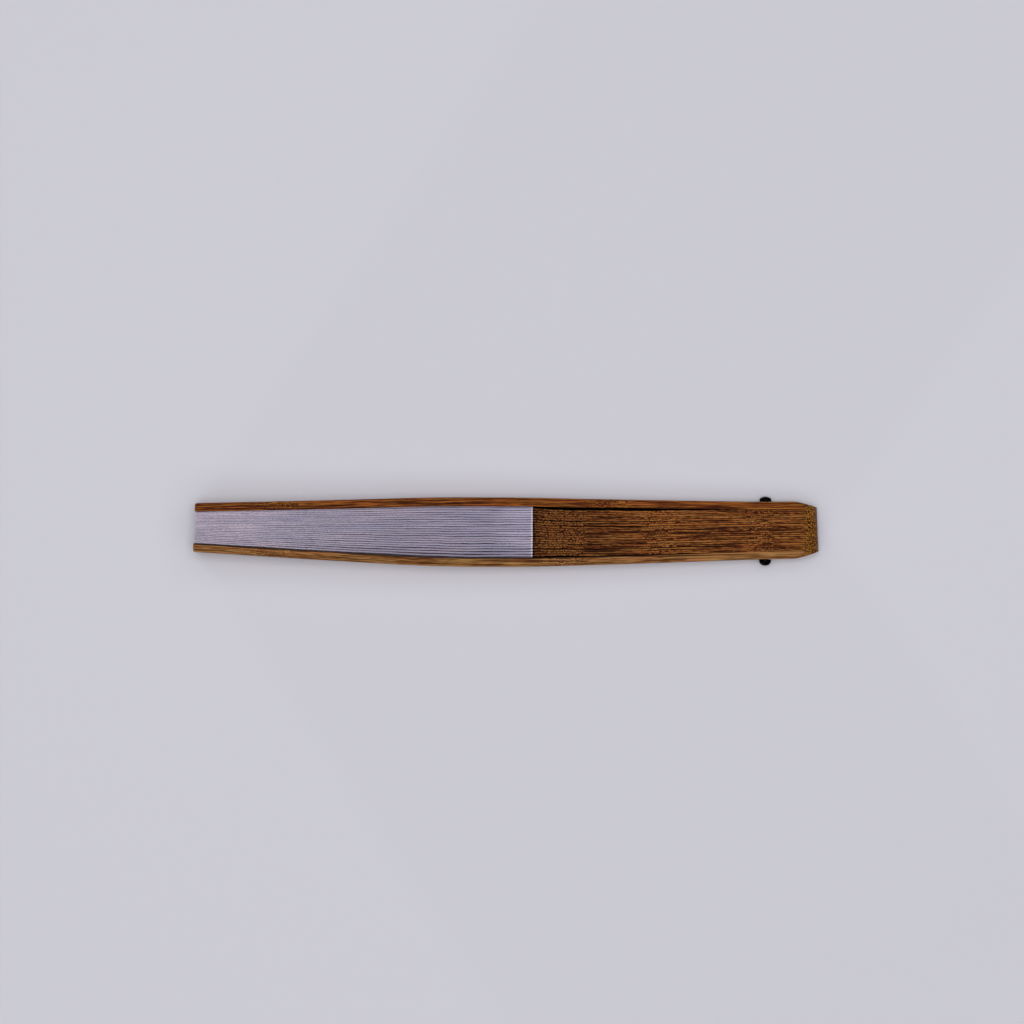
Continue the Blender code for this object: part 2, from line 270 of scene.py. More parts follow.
def wander(name, lengths=WANDER_WAVES):
    """A slow, seeded wave along a piece, between -1 and 1."""
    chance = random.Random(name)
    waves = [(length, chance.uniform(0, 2 * math.pi)) for length in lengths]

    def at(radius):
        return sum(
            share * math.sin(2 * math.pi * radius / length + phase)
            for share, (length, phase) in zip(WAVE_SHARES, waves)
        )

    return at


def gap_shares(wide_gaps):
    """Every gap's width in even gaps, from the widths of the ones that are set."""
    count = RIB_COUNT + 1
    rest = (count - sum(wide_gaps.values())) / (count - len(wide_gaps))
    return [wide_gaps.get(number, rest) for number in range(1, count + 1)]


GAP_SHAPES = [
    (free, folded, wander(f"gap {number}", GAP_WAVES))
    for number, (free, folded) in enumerate(zip(gap_shares(FREE_GAPS), gap_shares(LEAF_GAPS)))
]


@functools.lru_cache(maxsize=None)
def crowding(radius):
    """How far each rib lies from its even place at a radius, in the ribs' order."""
    in_leaf = smooth((radius - LEAF_INNER_RADIUS) / CROWD_CHANGE + CROWD_LEAD)
    even_gap = along(radius, RIB_GAP, FOLD_GAP_INNER, FOLD_GAP_TIP) * smooth(radius / CROWD_START)
    shares = [
        mix(free, folded, in_leaf) * (1.0 + GAP_WAVER * waver(radius))
        for free, folded, waver in GAP_SHAPES
    ]
    mean = sum(shares) / len(shares)
    return list(itertools.accumulate((share / mean - 1.0) * even_gap for share in shares))


def rib_middle(number, radius):
    """Where the middle of a rib lies across the stack. Ribs are numbered from the front guard."""
    share = smooth(radius / LEAF_INNER_RADIUS)
    # The product of the shares is 4 / 27 at most
    sag = RIB_SAG * share**2 * (1.0 - share) * 27 / 4
    shift = along(radius, 0.0, INNER_SHIFT, TIP_SHIFT) + sag - crowding(radius)[number - 1]
    return (number - (RIB_COUNT + 1) / 2) * rib_pitch(radius) - shift + bow(radius)


def rib_half_width(radius):
    """The ribs match the guards in the head, narrow to the neck and run on as slips in the leaf."""
    neck_radius = LEAF_INNER_RADIUS - NECK_LENGTH
    if radius <= neck_radius:
        head = guard_edge(min(radius, 0.0)) - RIB_INSET
        return mix(head, NECK_WIDTH / 2, max(radius, 0.0) / neck_radius)
    return mix(SLIP_INNER_WIDTH, SLIP_TIP_WIDTH, leaf_share(radius)) / 2


def slip_half_thickness(radius):
    leaf_radius = max(radius, LEAF_INNER_RADIUS)
    return along(leaf_radius, SLIP_INNER_THICKNESS, SLIP_INNER_THICKNESS, SLIP_TIP_THICKNESS) / 2


def fold_gap(radius):
    return along(radius, FOLD_GAP_INNER, FOLD_GAP_INNER, FOLD_GAP_TIP)


def climbing_panel(number, radius):
    """Where the paper that climbs to a crest lies across. The last crest is at the back guard."""
    if number > RIB_COUNT:
        return falling_panel(number, radius) - PAPER_THICKNESS - fold_gap(radius)
    return rib_middle(number, radius) - slip_half_thickness(radius) - PAPER_GAP - PAPER_THICKNESS / 2


def falling_panel(number, radius):
    """Where the paper that comes down behind a crest lies. Number 0 comes down the front guard."""
    beside_guard = guard_inner_face(radius) - PAPER_GAP - PAPER_THICKNESS / 2
    if number == 0:
        return bow(radius) - beside_guard
    if number > RIB_COUNT:
        return bow(radius) + beside_guard
    return rib_middle(number, radius) + slip_half_thickness(radius) + PAPER_GAP + PAPER_THICKNESS / 2


def crest_height(radius):
    return radius * math.tan(PANEL_ANGLE / 2)


def rounded_off(distance, corner):
    """How much a rounded corner takes off at a distance from the end."""
    if distance >= corner:
        return 0.0
    return corner - math.sqrt(max(corner**2 - (corner - distance) ** 2, 0.0))


def head_end(across):
    """Radius of the head's end, which is negative, for a stick at a place across the stack."""
    return -(HEAD_LENGTH - END_SLANT * across)


def tip_radius(across):
    return GUARD_RADIUS - END_SLANT * across


def tone_of(name):
    """How much lighter or darker than the rest a piece is, between -1 and 1."""
    return random.Random(name + " tone").uniform(-1.0, 1.0)


def steps_between(start, end, step, extra=()):
    """Radii from start to end, at most a step apart, with the extra ones among them."""
    count = math.ceil((end - start) / step)
    places = {start, end, *extra}
    places |= {mix(start, end, index / count) for index in range(1, count)}
    ordered = sorted(place for place in places if start <= place <= end)
    kept = [ordered[0]]
    for place in ordered[1:]:
        if place - kept[-1] > SHORTEST_STEP:
            kept.append(place)
    kept[-1] = end
    return kept


def quarter_steps(size):
    """Distances from an end, spaced evenly round a quarter circle."""
    turns = [0.5 * math.pi * step / CORNER_STEPS for step in range(CORNER_STEPS + 1)]
    return [size * (1.0 - math.cos(turn)) for turn in turns]


def arc(centre, size, start, end, steps=ARC_STEPS):
    """Points round a part of a circle, between two angles in degrees."""
    turns = [math.radians(mix(start, end, step / steps)) for step in range(steps + 1)]
    return [(centre[0] + size * math.cos(turn), centre[1] + size * math.sin(turn)) for turn in turns]


# Building pieces

def to_world(point):
    """A (radius, across, height) point of the fan, in the frame's coordinates."""
    radius, across, height = point
    forward = -radius * math.cos(LEAN) + height * math.sin(LEAN)
    up = radius * math.sin(LEAN) + height * math.cos(LEAN)
    return PIVOT + Vector((forward, across, up))


def to_fan(world):
    """The same the other way."""
    offset = Vector(world) - PIVOT
    radius = -offset.x * math.cos(LEAN) + offset.z * math.sin(LEAN)
    height = offset.x * math.sin(LEAN) + offset.z * math.cos(LEAN)
    return radius, offset.y, height


def make_object(name, mesh_data, material):
    """Makes a linked object whose faces look outwards."""
    mesh = bpy.data.meshes.new(name)
    bmesh.ops.recalc_face_normals(mesh_data, faces=mesh_data.faces)
    mesh_data.to_mesh(mesh)
    mesh_data.free()
    mesh.materials.append(material)
    obj = bpy.data.objects.new(name, mesh)
    bpy.context.scene.collection.objects.link(obj)
    return obj


def shade(obj, angle):
    """Smooth shading, apart from the edges that bend more than an angle."""
    obj.data.shade_smooth()
    obj.data.set_sharp_from_angle(angle=math.radians(angle))


def note_places(obj, middle, tone):
    """Stores where each point lies on its own stick or fold, which the materials follow."""
    mesh = obj.data
    shift = random.Random(obj.name).uniform(0.0, GRAIN_SPREAD)
    places, depths, stack = [], [], []
    for vertex in mesh.vertices:
        radius, across, height = to_fan(vertex.co)
        offset = across - middle(radius)
        places += [radius, offset + shift, height]
        depths.append(abs(offset))
        stack.append(across)
    tones = [tone] * len(mesh.vertices)
    mesh.attributes.new("place", "FLOAT_VECTOR", "POINT").data.foreach_set("vector", places)
    for key, values in (("depth", depths), ("stack", stack), ("tone", tones)):
        mesh.attributes.new(key, "FLOAT", "POINT").data.foreach_set("value", values)


def join_rings(mesh_data, rings):
    """Adds closed rings of fan points and the faces between them."""
    made = [[mesh_data.verts.new(to_world(point)) for point in ring] for ring in rings]
    for ring, following in zip(made, made[1:]):
        for index in range(len(ring)):
            mesh_data.faces.new((ring[index - 1], ring[index], following[index], following[index - 1]))
    return made


def loft(name, rings, material):
    """A closed stick through rings of fan points."""
    mesh_data = bmesh.new()
    made = join_rings(mesh_data, rings)
    mesh_data.faces.new(made[0])
    mesh_data.faces.new(made[-1])
    return make_object(name, mesh_data, material)


def sheet_mesh(name, sections, material):
    """A thin closed strip of paper. A section holds a row of fan points for each of its faces."""
    mesh_data = bmesh.new()
    made = [
        [[mesh_data.verts.new(to_world(point)) for point in row] for row in pair]
        for pair in sections
    ]
    for pair, next_pair in zip(made, made[1:]):
        for row, next_row in zip(pair, next_pair):
            for corners in zip(row, row[1:], next_row[1:], next_row):
                mesh_data.faces.new(corners)
        for edge in (0, -1):
            mesh_data.faces.new((pair[0][edge], pair[1][edge], next_pair[1][edge], next_pair[0][edge]))
    for first, second in (made[0], made[-1]):
        for corners in zip(first, first[1:], second[1:], second):
            mesh_data.faces.new(corners)
    return make_object(name, mesh_data, material)


def turned(name, profile, material, sides):
    """A round piece from (radius, across) points, the first and last on the rivet's axis."""
    mesh_data = bmesh.new()
    turns = [2 * math.pi * side / sides for side in range(sides)]
    rings = [
        [(radius * math.cos(turn), across, radius * math.sin(turn)) for turn in turns]
        for radius, across in profile[1:-1]
    ]
    made = join_rings(mesh_data, rings)
    for ring, point in ((made[0], profile[0]), (made[-1], profile[-1])):
        pole = mesh_data.verts.new(to_world((*point, 0.0)))
        for index in range(sides):
            mesh_data.faces.new((ring[index - 1], ring[index], pole))
    return make_object(name, mesh_data, material)


def cut_rivet_hole(obj, material):
    """Cuts the hole for the rivet's shaft, and keeps only the cut mesh."""
    reach = 2 * (HEAD_HALF + GUARD_THICKNESS)
    size = RIVET_RADIUS + RIVET_HOLE_GAP
    profile = [(0.0, -reach), (size, -reach), (size, reach), (0.0, reach)]
    cutter = turned("rivet_hole_cutter", profile, material, HOLE_SIDES)
    hole = obj.modifiers.new("rivet_hole", "BOOLEAN")
    hole.operation = "DIFFERENCE"
    hole.solver = "EXACT"
    hole.object = cutter
    graph = bpy.context.evaluated_depsgraph_get()
    cut_mesh = bpy.data.meshes.new_from_object(obj.evaluated_get(graph))
    obj.modifiers.clear()
    obj.data = cut_mesh
    bpy.data.objects.remove(cutter)


# Guards

def node_relief(radius, nodes):
    """The low ridge and the groove beside it that bamboo nodes leave on a guard's outer face."""
    relief = 0.0
    for place in nodes:
        ridge = (radius - place) / NODE_RIDGE_WIDTH
        groove = (radius - place - NODE_GROOVE_PLACE) / (NODE_RIDGE_WIDTH / 2)
        relief += NODE_RIDGE * math.exp(-(ridge**2)) - NODE_GROOVE * math.exp(-(groove**2))
    return relief


def guard_ring(radius, side, nodes, start, end):
    """A guard's section: flat inside, with rounder outer edges and a crowned outer face.

    It is drawn as (distance from the inner face, height). Where the guard is thin, its rounds are
    smaller."""
    thickness = guard_thickness(radius)
    eased = rounded_off(min(radius - start, end - radius), min(END_ROUND, thickness / 4))
    cut = rounded_off(radius - start, HEAD_CORNER) + rounded_off(end - radius, TIP_CORNER)
    half = guard_edge(radius) - max(cut, eased)
    thickness -= max(rounded_off(end - radius, GUARD_TIP_BEVEL), eased)
    inner = min(GUARD_INNER_ROUND, thickness / 4)
    outer = min(GUARD_OUTER_ROUND, thickness / 3)
    crown = GUARD_CROWN * thickness / GUARD_THICKNESS
    edge = thickness - crown
    face_half = half - outer
    face = [face_half * (1 - step / FACE_STEPS) for step in range(1, 2 * FACE_STEPS)]
    relief = node_relief(radius, nodes)
    outline = arc((inner + eased, half - inner), inner, 180, 90)
    outline += arc((edge - outer, face_half), outer, 90, 0)
    outline += [(edge + (crown + relief) * (1 - (z / face_half) ** 2), z) for z in face]
    outline += arc((edge - outer, -face_half), outer, 0, -90)
    outline += arc((inner + eased, inner - half), inner, -90, -180)
    base = guard_inner_face(radius)
    return [(radius, side * (base + depth) + bow(radius), height) for depth, height in outline]


def make_guard(name, side, nodes, material):
    start = head_end(side * HEAD_HALF)
    end = tip_radius(side * TIP_HALF)
    near = [place + step * NODE_STEP for place in nodes for step in NODE_STEPS]
    rounding = quarter_steps(END_ROUND)
    corners = [start + distance for distance in (*quarter_steps(HEAD_CORNER), *rounding)]
    corners += [end - distance for distance in (*quarter_steps(TIP_CORNER), *rounding)]
    radii = steps_between(start, end, GUARD_STEP, [*near, *corners, CHAMFER_RADIUS])
    guard = loft(name, [guard_ring(radius, side, nodes, start, end) for radius in radii], material)
    cut_rivet_hole(guard, material)
    note_places(guard, lambda radius: bow(radius) + side * guard_inner_face(radius), 0.0)
    shade(guard, STICK_SHARPNESS)
    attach(guard, name)
    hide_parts(name)
    return guard


# Ribs

def rib_ring(radius, middle, half, half_width, lift):
    """A rib's section, with its four edges eased. Its upper edge is lifted a little."""
    ease = min(RIB_ROUND, half * RIB_ROUND_SHARE)
    top, bottom = half_width + lift, -half_width
    outline = []
    for centre, start in (
        ((half - ease, top - ease), 0),
        ((ease - half, top - ease), 90),
        ((ease - half, bottom + ease), 180),
        ((half - ease, bottom + ease), 270),
    ):
        outline += arc(centre, ease, start, start + 90, RIB_ARC_STEPS)
    return [(radius, middle + depth, height) for depth, height in outline]


def make_rib(number, material):
    name = BODIES[number]
    start = head_end(rib_middle(number, 0.0))
    end = GUARD_RADIUS - LEAF_SETBACK - SLIP_SETBACK
    neck = LEAF_INNER_RADIUS - NECK_LENGTH
    corner = HEAD_CORNER - RIB_INSET
    upwards = wander(name + " up")
    extra = [start + distance for distance in quarter_steps(corner)]
    rings = []
    for radius in steps_between(start, end, RIB_STEP, [*extra, neck, LEAF_INNER_RADIUS - PAPER_GAP]):
        free = radius <= neck
        half = RIB_THICKNESS / 2 if free else slip_half_thickness(radius)
        half_width = rib_half_width(radius) - rounded_off(radius - start, corner)
        rise = smooth((radius - start) / RIB_WANDER_START)
        lift = RIB_WANDER * upwards(radius) * rise if free else 0.0
        rings.append(rib_ring(radius, rib_middle(number, radius), half, half_width, lift))
    rib = loft(name + "_stick", rings, material)
    cut_rivet_hole(rib, material)
    note_places(rib, lambda radius: rib_middle(number, radius), tone_of(name))
    shade(rib, STICK_SHARPNESS)
    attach(rib, name)
    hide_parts(name)
    return rib


# Leaf

def crest_shift(radius, sideways):
    """How far a crest wanders sideways."""
    return CREST_PLAY * fold_gap(radius) * sideways(radius)


def crest_top(radius, upwards):
    """Height of a crest, which wanders a little below its even place."""
    return crest_height(radius) + CREST_WANDER * (upwards(radius) - 1.0) / 2


def crest_corner(number, radius):
    """Radius of the paper's bend at either side of a crest, at most half of the crest's width."""
    width = falling_panel(number, radius) - climbing_panel(number, radius)
    return min(mix(CREST_ROUND_INNER, CREST_ROUND_TIP, leaf_share(radius)), width / 2)


def valley_bend(number, radius):
    """Radius of the paper's bend under the gap that follows a crest."""
    return (climbing_panel(number + 1, radius) - falling_panel(number, radius)) / 2


def valley_rows(number, radius):
    """The bend that joins the falling panel behind a crest to the next climbing one."""
    bend = valley_bend(number, radius)
    centre = (falling_panel(number, radius) + bend, bend - crest_height(radius))
    half = PAPER_THICKNESS / 2
    return [arc(centre, size, 180, 360, 2 * ARC_STEPS) for size in (bend - half, bend + half)]


def crest_rows(number, radius, sideways, upwards):
    """The bend over a rib's slip, from the climbing panel to the falling one."""
    corner = crest_corner(number, radius)
    shift = crest_shift(radius, sideways)
    low = crest_top(radius, upwards) - corner
    left = (climbing_panel(number, radius) + corner + shift, low)
    right = (falling_panel(number, radius) - corner + shift, low)
    half = PAPER_THICKNESS / 2
    return [
        arc(left, size, 180, 90) + arc(right, size, 90, 0)
        for size in (corner + half, corner - half)
    ]


def leaf_stations():
    """The radii at which the leaf is drawn, with their slants. Only the outer edge has one."""
    end = GUARD_RADIUS - LEAF_SETBACK
    radii = steps_between(LEAF_INNER_RADIUS, end, LEAF_STEP)
    return [(radius, END_SLANT if radius == end else 0.0) for radius in radii]


def as_section(radius, slant, rows):
    """The two faces' rows as fan points. The outer edge is cut askew, like the guards' tips."""
    return [[(radius - slant * across, across, height) for across, height in row] for row in rows]


def note_tilt(obj, row_length, first):
    """Marks how a flat panel leans in the open fan: crest to the front and valley to the back.

    A panel lies between the points first and first + 1 of its two rows. The first row faces the
    front in the open fan on every panel, because the falling ones turn over."""
    mesh = obj.data
    tilts = mesh.attributes.new("tilt", "FLOAT", "CORNER")
    for polygon in mesh.polygons:
        corners = [(loop, mesh.loops[loop].vertex_index) for loop in polygon.loop_indices]
        found = {index % (2 * row_length) for _, index in corners}
        for row, outward in ((0, 1.0), (1, -1.0)):
            if found != {first + row * row_length, first + 1 + row * row_length}:
                continue
            for loop, index in corners:
                radius, _, height = to_fan(mesh.vertices[index].co)
                tilts.data[loop].value = math.copysign(outward, outward * height) * crest_height(radius)


def make_fold(number, material):
    """One rib's share of the leaf: the valley before it, the panel that climbs, and the crest."""
    name = f"leaf_fold_{number:02d}"
    sideways, upwards = wander(name + " across"), wander(name + " up")
    sections = []
    for radius, slant in leaf_stations():
        valley = valley_rows(number - 1, radius)
        crest = crest_rows(number, radius, sideways, upwards)
        rows = [low + high for low, high in zip(valley, crest)]
        if number > RIB_COUNT:
            last = falling_panel(number, radius)
            foot = -crest_height(radius)
            half = PAPER_THICKNESS / 2
            rows = [row + [(last + out, foot)] for row, out in zip(rows, (half, -half))]
        sections.append(as_section(radius, slant, rows))
    fold = sheet_mesh(name, sections, material)
    note_tilt(fold, len(sections[0][0]), 2 * ARC_STEPS)
    note_places(fold, lambda radius: rib_middle(number, radius), tone_of(name))
    shade(fold, LEAF_SHARPNESS)
    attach(fold, BODIES[number])
    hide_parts("leaf")
    return sideways, upwards


def make_falling_panel(number, waves, material):
    """The flat panel between a crest and the next valley."""
    name = f"leaf_panel_{number:02d}"
    half = PAPER_THICKNESS / 2
    sections = []
    for radius, slant in leaf_stations():
        across = falling_panel(number, radius)
        if number == 0:
            top, top_across = crest_height(radius) - FREE_EDGE_DROP, across
        else:
            sideways, upwards = waves
            top = crest_top(radius, upwards) - crest_corner(number, radius)
            top_across = across + crest_shift(radius, sideways)
        bottom = valley_bend(number, radius) - crest_height(radius)
        rows = [[(top_across + out, top), (across + out, bottom)] for out in (half, -half)]
        sections.append(as_section(radius, slant, rows))
    panel = sheet_mesh(name, sections, material)
    note_tilt(panel, 2, 0)
    note_places(panel, lambda radius: rib_middle(number, radius), tone_of(name))
    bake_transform(panel)
    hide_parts("leaf")


# Rivet

def dome_profile(base, outward, height):
    """A rivet head's outline from its crown to its flat base, with a rounded rim."""
    dome_height = height - RIVET_HEAD_RIM
    profile = []
    for step in range(DOME_STEPS + 1):
        turn = 0.5 * math.pi * step / DOME_STEPS
        rise = RIVET_HEAD_RIM + dome_height * math.cos(turn)
        profile.append((RIVET_HEAD_RADIUS * math.sin(turn), base + outward * rise))
    rim = (RIVET_HEAD_RADIUS - RIVET_RIM_ROUND, RIVET_RIM_ROUND)
    foot = arc(rim, RIVET_RIM_ROUND, 0, -90)
    return profile + [(radius, base + outward * rise) for radius, rise in foot]


def make_rivet(material):
    base = guard_inner_face(RIVET_HEAD_RADIUS) + guard_thickness(RIVET_HEAD_RADIUS) + RIVET_HEAD_GAP
    pin_end = base + CAP_SOCKET_DEPTH - CAP_SOCKET_GAP
    pin_profile = dome_profile(-base, -1, PIN_HEAD_HEIGHT)
    pin_profile += [(RIVET_RADIUS, -base), (RIVET_RADIUS, pin_end), (0.0, pin_end)]
    socket = RIVET_RADIUS + CAP_SOCKET_GAP
    floor = base + CAP_SOCKET_DEPTH
    cap_profile = dome_profile(base, 1, CAP_HEIGHT) + [(socket, base), (socket, floor), (0.0, floor)]
    for name, profile in (("pivot_pin", pin_profile), ("pin_cap", cap_profile)):
        piece = turned(name + "_resin", profile, material, RIVET_SIDES)
        note_places(piece, lambda radius: 0.0, 0.0)
        shade(piece, RIVET_SHARPNESS)
        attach(piece, "front_guard")
        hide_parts(name)


# Materials. Lengths are in millimetres here, unless a comment says metres. A noise's three scales
# are in cells per millimetre along a stick, across it and upwards. A pair of lengths is where a
# change starts and where it ends.

MILLIMETRES = 1000.0

# The mix node's sockets for its two colours and for the mixed one
MIX_COLOURS = (6, 7)
MIX_RESULT = 2

# Bamboo nodes: place and half width in metres, and how strongly they stir the grain
RIB_BANDS = ((0.0745, 0.0115, 1.40), (0.0385, 0.0085, 0.48), (0.0020, 0.0070, 0.42))
GUARD_BAND = (0.012, 0.30)
BAND_CORE = 0.4

# Waves that stir the grain at the nodes, and its slow drift
FLAME_SCALES = (0.16, 0.5, 1.0)
FLAME_REACH = 2.4
CURL_SCALES = (0.55, 1.2, 1.0)
CURL_REACH = 1.0
DRIFT_SCALES = (0.022, 1.0, 1.0)

# Fibres: scale along and across a stick, and the noise's detail
BROAD_FIBRE = (0.028, 0.6, 0.0)
LONG_FIBRE = (0.014, 3.3, 0.0)
GUARD_SHORT_FIBRE = (0.14, 3.9, 1.0)
RIB_SHORT_FIBRE = (0.48, 3.9, 1.0)
SPECK_FIBRE = (1.70, 2.5, 0.0)
FIBRE_ROUGHNESS = 0.6

# How much each of them counts in the grain, and how much a stick's own tone does
BROAD_SHARE = 0.04
LONG_SHARE = 0.49
SHORT_SHARE = 0.47
SPECK_LIFT = 0.02
TONE_SHARE = 0.016

# The grain's dark, middle and light colours
GRAIN_STOPS = (0.41, 0.50, 0.59)
FRONT_COLOURS = ((0.062, 0.019, 0.003), (0.162, 0.063, 0.016), (0.34, 0.158, 0.056))
BACK_COLOURS = ((0.034, 0.0050, 0.0005), (0.100, 0.022, 0.0014), (0.290, 0.092, 0.014))
RIB_COLOURS = ((0.038, 0.0070, 0.0010), (0.136, 0.036, 0.0056), (0.38, 0.138, 0.034))
TINT_SCALES = (0.05, 1.1, 1.0)
TINT_STOPS = ((0.38, (1.0, 0.87, 0.78)), (0.62, (1.0, 1.14, 1.08)))

# The guards' inner edges are pale near the head, and the front one's are darkened with painted shade
# further along
INNER_EDGE_DEPTH = (0.20, 0.50)
INNER_EDGE_DROP = (0.4, 1.4)
INNER_EDGE_STRENGTH = 0.85
PALE_GAIN = 1.25
FRONT_PALE_EDGE = (30.0, 18.0)
FRONT_DARK_EDGE = (30.0, 42.0)
BACK_PALE_EDGE = (12.0, 2.0)
EDGE_SHADE_COLOUR = (0.012, 0.006, 0.004)

# Painted shade: the ribs are darkened in the seams between them and beside the leaf
SEAM_DEPTH = (0.18, 0.34)
SEAM_DROP = (0.3, 1.0)
SEAM_SHADE_STRENGTH = 0.55
WIDE_SHADOW = (35.0, 62.0)
WIDE_SHADOW_STRENGTH = 0.25
NEAR_SHADOW = (77.0, 83.0)
NEAR_SHADOW_STRENGTH = 0.50
SHADOW_COLOUR = (0.012, 0.004, 0.002)

# Cut ends of the sticks, with open pores
CUT_END = (-12.2, -15.2)
CUT_END_STRENGTH = 0.96
PORE_SCALES = (1.0, 1.5, 1.5)
PORE_STOPS = ((0.475, (0.010, 0.003, 0.001)), (0.535, (0.350, 0.134, 0.018)))

# Roughness of dark and of light grain, and how much the long fibres, the shorter ones and the
# specks count in its relief
GRAIN_SPAN = (0.3, 0.7)
GUARD_ROUGHNESS = (0.68, 0.52)
RIB_ROUGHNESS = (0.70, 0.54)
RELIEF_SHARES = (0.6, 0.4, 0.8)

# Paper: fibres, clouds and streaks, and how much each changes its brightness, at the inner edge
# and at the tips. So do each fold's own tone, and painted light that brightens the paper with
# every millimetre towards the back guard.
PAPER_FIBRE_SCALES = (1.8, 2.4, 2.4)
CLOUD_SCALES = (0.045, 0.35, 0.06)
STREAK_SCALES = (0.07, 0.5, 0.15)
FIBRE_CHANGE = (0.6, 1.2)
CLOUD_CHANGE = (0.4, 0.6)
STREAK_CHANGE = (0.7, 0.3)
BACKWARD_LIGHT_CHANGE = (0.014, 0.009)
FOLD_CHANGE = (0.04, 0.012)
FOLD_CHANGE_REACH = (90.0, 170.0)
TIP_REACH = (90.0, 190.0)

# A cloud has a colour, the noise levels where it starts and is full, and a strength. The paper is
# darker in a band part way along, and pale for a little way from its cut inner edge.
PAPER_COLOURS = ((0.400, 0.356, 0.480), (0.394, 0.350, 0.446))
PAPER_CLOUDS = (((0.44, 0.345, 0.42), (0.52, 0.70), 0.6), ((0.35, 0.335, 0.48), (0.46, 0.30), 0.5))
DARK_BAND_START = (90.0, 99.0)
DARK_BAND_END = (172.0, 132.0)
DARK_BAND_LEVELS = (0.98, 0.81)
CUT_EDGE = (0.40, 0.70)
CUT_EDGE_STRENGTH = 0.9
CUT_EDGE_COLOUR = (0.66, 0.63, 0.71)

# How far a panel leans forward or back when the fan is open
PLEAT_SLOPE = 0.45

# Resin
MARK_SPAN = (0.3, 0.7)
RESIN_GREYS = (0.0003, 0.0010)
RESIN_ROUGHNESS = (0.20, 0.34)

# Floor and backdrop, in metres. The floor has painted shade: the span is how open to the sky the
# floor is where the shade is painted black and where it has its full colour.
FLOOR_COLOUR = (0.63, 0.625, 0.69)
SHADE_REACH = 0.03
SHADE_SPAN = (0.18, 0.42)
BACKDROP_COLOUR = (0.600, 0.594, 0.658)
BACKDROP_REACH = (0.35, 1.30)


class Nodes:
    """A material's nodes, with short calls for those used here."""

    def __init__(self, name):
        self.material = bpy.data.materials.new(name)
        self.material.use_nodes = True
        self.tree = self.material.node_tree
        self.shader = self.tree.nodes["Principled BSDF"]

    def add(self, kind, **settings):
        node = self.tree.nodes.new(kind)
        for key, value in settings.items():
            setattr(node, key, value)
        return node

    def feed(self, socket, value):
        if isinstance(value, bpy.types.NodeSocket):
            self.tree.links.new(value, socket)
        else:
            socket.default_value = value

    def finish(self, colour, roughness, specular, normal=None):
        """Sets up the shader and returns the material."""
        self.feed(self.shader.inputs["Base Color"], colour)
        self.feed(self.shader.inputs["Roughness"], roughness)
        self.shader.inputs["Specular IOR Level"].default_value = specular
        if normal is not None:
            self.feed(self.shader.inputs["Normal"], normal)
        return self.material

    def attribute(self, name):
        return self.add("ShaderNodeAttribute", attribute_name=name).outputs["Fac"]

    def length(self, name):
        return self.product(self.attribute(name), MILLIMETRES)

    def place(self):
        """A point's radius, place across its own stick, and height."""
        split = self.add("ShaderNodeSeparateXYZ")
        place = self.add("ShaderNodeAttribute", attribute_name="place")
        self.feed(split.inputs[0], place.outputs["Vector"])
        return tuple(self.product(output, MILLIMETRES) for output in split.outputs)

    def math(self, operation, a, b=0.0, clamped=False):
        node = self.add("ShaderNodeMath", operation=operation, use_clamp=clamped)
        self.feed(node.inputs[0], a)
        self.feed(node.inputs[1], b)
        return node.outputs[0]

    def total(self, *values):
        return functools.reduce(lambda a, b: self.math("ADD", a, b), values)

    def product(self, *values):
        return functools.reduce(lambda a, b: self.math("MULTIPLY", a, b), values)

    def less(self, a, b):
        return self.math("SUBTRACT", a, b)

    def centred(self, noise):
        """A noise about 0, and not about a half."""
        return self.less(noise, 0.5)

    def between(self, share, a, b):
        return self.total(a, self.product(self.less(b, a), share))

    def ranged(self, value, span, to_low=0.0, to_high=1.0, smooth_step=False):
        """Maps a span of values to another one, and stays within that."""
        node = self.add("ShaderNodeMapRange")
        if smooth_step:
            node.interpolation_type = "SMOOTHSTEP"
        for socket, number in zip(node.inputs, (value, *span, to_low, to_high)):
            self.feed(socket, number)
        return node.outputs[0]

    def vector(self, x, y, z):
        node = self.add("ShaderNodeCombineXYZ")
        for socket, value in zip(node.inputs, (x, y, z)):
            self.feed(socket, value)
        return node.outputs[0]

    def noise(self, place, scales=(1.0, 1.0, 1.0), detail=0.0, roughness=0.5, fineness=1.0):
        node = self.add("ShaderNodeTexNoise")
        parts = [self.product(part, scale) for part, scale in zip(place, scales)]
        self.feed(node.inputs["Vector"], self.vector(*parts))
        for key, value in (("Scale", fineness), ("Detail", detail), ("Roughness", roughness)):
            node.inputs[key].default_value = value
        return node.outputs["Fac"]

    def blend(self, share, a, b, mode="MIX"):
        node = self.add("ShaderNodeMix", data_type="RGBA", blend_type=mode)
        self.feed(node.inputs["Factor"], share)
        for index, colour in zip(MIX_COLOURS, (a, b)):
            linked = isinstance(colour, bpy.types.NodeSocket)
            self.feed(node.inputs[index], colour if linked else (*colour, 1.0))
        return node.outputs[MIX_RESULT]

    def ramp(self, value, stops):
        node = self.add("ShaderNodeValToRGB")
        self.feed(node.inputs["Fac"], value)
        elements = node.color_ramp.elements
        # A ramp starts with two elements
        for place, _ in stops[2:]:
            elements.new(place)
        for element, (place, colour) in zip(elements, stops):
            element.position = place
            element.color = (*colour, 1.0)
        return node.outputs["Color"]

    def bump(self, height, distance, normal=None):
        """Relief, with the distance in metres that a height of 1 stands for."""
        node = self.add("ShaderNodeBump")
        node.inputs["Distance"].default_value = distance
        self.feed(node.inputs["Height"], height)
        if normal is not None:
            self.feed(node.inputs["Normal"], normal)
        return node.outputs["Normal"]


